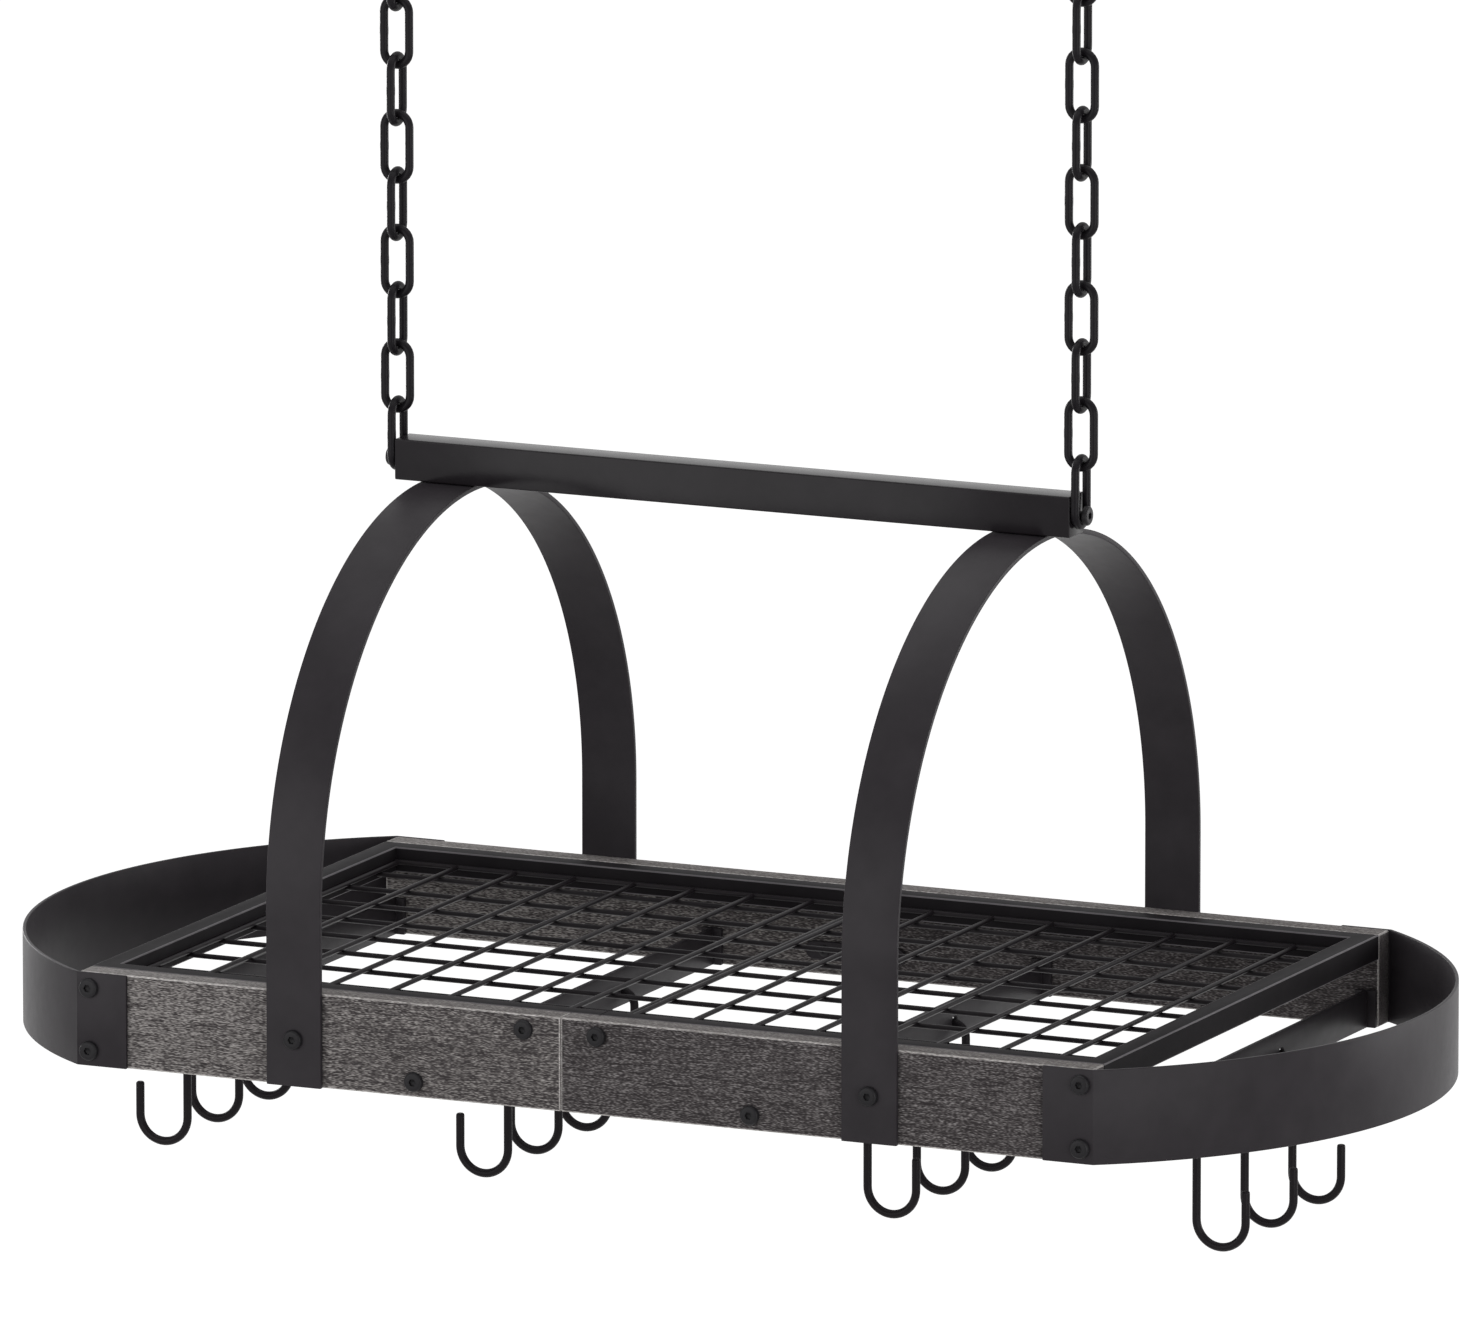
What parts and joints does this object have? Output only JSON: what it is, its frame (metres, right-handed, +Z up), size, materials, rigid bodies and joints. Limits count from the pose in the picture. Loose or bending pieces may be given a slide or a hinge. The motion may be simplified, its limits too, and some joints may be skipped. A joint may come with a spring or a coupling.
{
  "type": "hanging pot rack",
  "caption": "Oval hanging pot rack on chains: grey wood rim, black steel arches and end bands, wire grid trays and S-shaped pot hooks on crossbars.",
  "frame": {"origin": "in the ceiling plane, midway between the two ceiling hooks", "axes": "+X along the rack towards its right end, +Y from front to back, +Z up"},
  "size_m": [0.862, 0.434, 0.8086],
  "materials": {
    "black_steel": "satin black powder coat",
    "black_chain": "semi-gloss black",
    "black_bolt": "black oxide",
    "black_wire": "satin black powder coat",
    "grey_wood": "grey weathered, matt"
  },
  "bodies": {
    "ceiling_fittings": {"ceiling_hook_left": "black_steel", "ceiling_hook_right": "black_steel"},
    "top_link_left": {"chain_link_left_01": "black_chain"},
    "chain_left": {"chain_link_left_02": "black_chain", "chain_link_left_03": "black_chain", "chain_link_left_04": "black_chain", "chain_link_left_05": "black_chain", "chain_link_left_06": "black_chain", "chain_link_left_07": "black_chain", "chain_link_left_08": "black_chain", "chain_link_left_09": "black_chain", "chain_link_left_10": "black_chain"},
    "end_link_left": {"chain_link_left_11": "black_chain"},
    "top_link_right": {"chain_link_right_01": "black_chain"},
    "chain_right": {"chain_link_right_02": "black_chain", "chain_link_right_03": "black_chain", "chain_link_right_04": "black_chain", "chain_link_right_05": "black_chain", "chain_link_right_06": "black_chain", "chain_link_right_07": "black_chain", "chain_link_right_08": "black_chain", "chain_link_right_09": "black_chain", "chain_link_right_10": "black_chain"},
    "end_link_right": {"chain_link_right_11": "black_chain"},
    "rack": {"top_bar": "black_steel", "chain_bolt_left": "black_bolt", "chain_bolt_right": "black_bolt", "arch_left": "black_steel", "arch_bolt_left": "black_bolt", "arch_right": "black_steel", "arch_bolt_right": "black_bolt", "board_front_left": "grey_wood", "board_front_right": "grey_wood", "board_back_left": "grey_wood", "board_back_right": "grey_wood", "end_band_left": "black_steel", "end_band_right": "black_steel", "tray_rail_left": "black_steel", "tray_mesh_left": "black_wire", "tray_rail_right": "black_steel", "tray_mesh_right": "black_wire", "splice_plate_front": "black_steel", "splice_plate_back": "black_steel", "crossbar_1": "black_steel", "crossbar_2": "black_steel", "crossbar_3": "black_steel", "crossbar_4": "black_steel"},
    "hanging_hook_01": {"pot_hook_01": "black_wire"},
    "hanging_hook_02": {"pot_hook_02": "black_wire"},
    "hanging_hook_03": {"pot_hook_03": "black_wire"},
    "hanging_hook_04": {"pot_hook_04": "black_wire"},
    "hanging_hook_05": {"pot_hook_05": "black_wire"},
    "hanging_hook_06": {"pot_hook_06": "black_wire"},
    "hanging_hook_07": {"pot_hook_07": "black_wire"},
    "hanging_hook_08": {"pot_hook_08": "black_wire"},
    "hanging_hook_09": {"pot_hook_09": "black_wire"},
    "hanging_hook_10": {"pot_hook_10": "black_wire"},
    "hanging_hook_11": {"pot_hook_11": "black_wire"},
    "hanging_hook_12": {"pot_hook_12": "black_wire"}
  },
  "joints": [
    {"name": "fore_aft_swing", "type": "hinge", "parent": "ceiling_fittings", "child": "top_link_left", "pos_m": [-0.2168, 0, -0.038], "axis": [1, 0, 0], "range_deg": [-22, 22]},
    {"name": "side_swing", "type": "hinge", "parent": "top_link_left", "child": "chain_left", "pos_m": [-0.2168, 0, -0.0712], "axis": [0, 1, 0], "range_deg": [-15, 15]},
    {"name": "end_link_level_left", "type": "hinge", "parent": "chain_left", "child": "end_link_left", "pos_m": [-0.2168, 0, -0.3692], "axis": [0, 1, 0], "range_deg": [-15, 15]},
    {"name": "rack_pitch", "type": "hinge", "parent": "end_link_left", "child": "rack", "pos_m": [-0.2168, 0, -0.4024], "axis": [1, 0, 0], "range_deg": [-15, 15]},
    {"name": "fore_aft_swing_right", "type": "hinge", "parent": "ceiling_fittings", "child": "top_link_right", "pos_m": [0.2168, 0, -0.038], "axis": [1, 0, 0], "range_deg": [-22, 22]},
    {"name": "side_swing_right", "type": "hinge", "parent": "top_link_right", "child": "chain_right", "pos_m": [0.2168, 0, -0.0712], "axis": [0, 1, 0], "range_deg": [-15, 15]},
    {"name": "end_link_level_right", "type": "hinge", "parent": "chain_right", "child": "end_link_right", "pos_m": [0.2168, 0, -0.3692], "axis": [0, 1, 0], "range_deg": [-15, 15]},
    {"name": "pot_hook_01_swing", "type": "hinge", "parent": "rack", "child": "hanging_hook_01", "pos_m": [-0.3125, -0.0684, -0.7225], "axis": [1, 0, 0], "range_deg": [-24, 24]},
    {"name": "pot_hook_02_swing", "type": "hinge", "parent": "rack", "child": "hanging_hook_02", "pos_m": [-0.3125, 0, -0.7225], "axis": [1, 0, 0], "range_deg": [-24, 24]},
    {"name": "pot_hook_03_swing", "type": "hinge", "parent": "rack", "child": "hanging_hook_03", "pos_m": [-0.3125, 0.0684, -0.7225], "axis": [1, 0, 0], "range_deg": [-24, 24]},
    {"name": "pot_hook_04_swing", "type": "hinge", "parent": "rack", "child": "hanging_hook_04", "pos_m": [-0.106, -0.0684, -0.7225], "axis": [1, 0, 0], "range_deg": [-24, 24]},
    {"name": "pot_hook_05_swing", "type": "hinge", "parent": "rack", "child": "hanging_hook_05", "pos_m": [-0.106, 0, -0.7225], "axis": [1, 0, 0], "range_deg": [-24, 24]},
    {"name": "pot_hook_06_swing", "type": "hinge", "parent": "rack", "child": "hanging_hook_06", "pos_m": [-0.106, 0.0684, -0.7225], "axis": [1, 0, 0], "range_deg": [-24, 24]},
    {"name": "pot_hook_07_swing", "type": "hinge", "parent": "rack", "child": "hanging_hook_07", "pos_m": [0.106, -0.0684, -0.7225], "axis": [1, 0, 0], "range_deg": [-24, 24]},
    {"name": "pot_hook_08_swing", "type": "hinge", "parent": "rack", "child": "hanging_hook_08", "pos_m": [0.106, 0, -0.7225], "axis": [1, 0, 0], "range_deg": [-24, 24]},
    {"name": "pot_hook_09_swing", "type": "hinge", "parent": "rack", "child": "hanging_hook_09", "pos_m": [0.106, 0.0684, -0.7225], "axis": [1, 0, 0], "range_deg": [-24, 24]},
    {"name": "pot_hook_10_swing", "type": "hinge", "parent": "rack", "child": "hanging_hook_10", "pos_m": [0.3125, -0.0684, -0.7225], "axis": [1, 0, 0], "range_deg": [-24, 24]},
    {"name": "pot_hook_11_swing", "type": "hinge", "parent": "rack", "child": "hanging_hook_11", "pos_m": [0.3125, 0, -0.7225], "axis": [1, 0, 0], "range_deg": [-24, 24]},
    {"name": "pot_hook_12_swing", "type": "hinge", "parent": "rack", "child": "hanging_hook_12", "pos_m": [0.3125, 0.0684, -0.7225], "axis": [1, 0, 0], "range_deg": [-24, 24]}
  ],
  "couplings": [
    {"joint": "fore_aft_swing_right", "follows": "fore_aft_swing", "ratio": 1},
    {"joint": "side_swing_right", "follows": "side_swing", "ratio": 1},
    {"joint": "end_link_level_left", "follows": "side_swing", "ratio": -1},
    {"joint": "end_link_level_right", "follows": "side_swing", "ratio": -1}
  ]
}
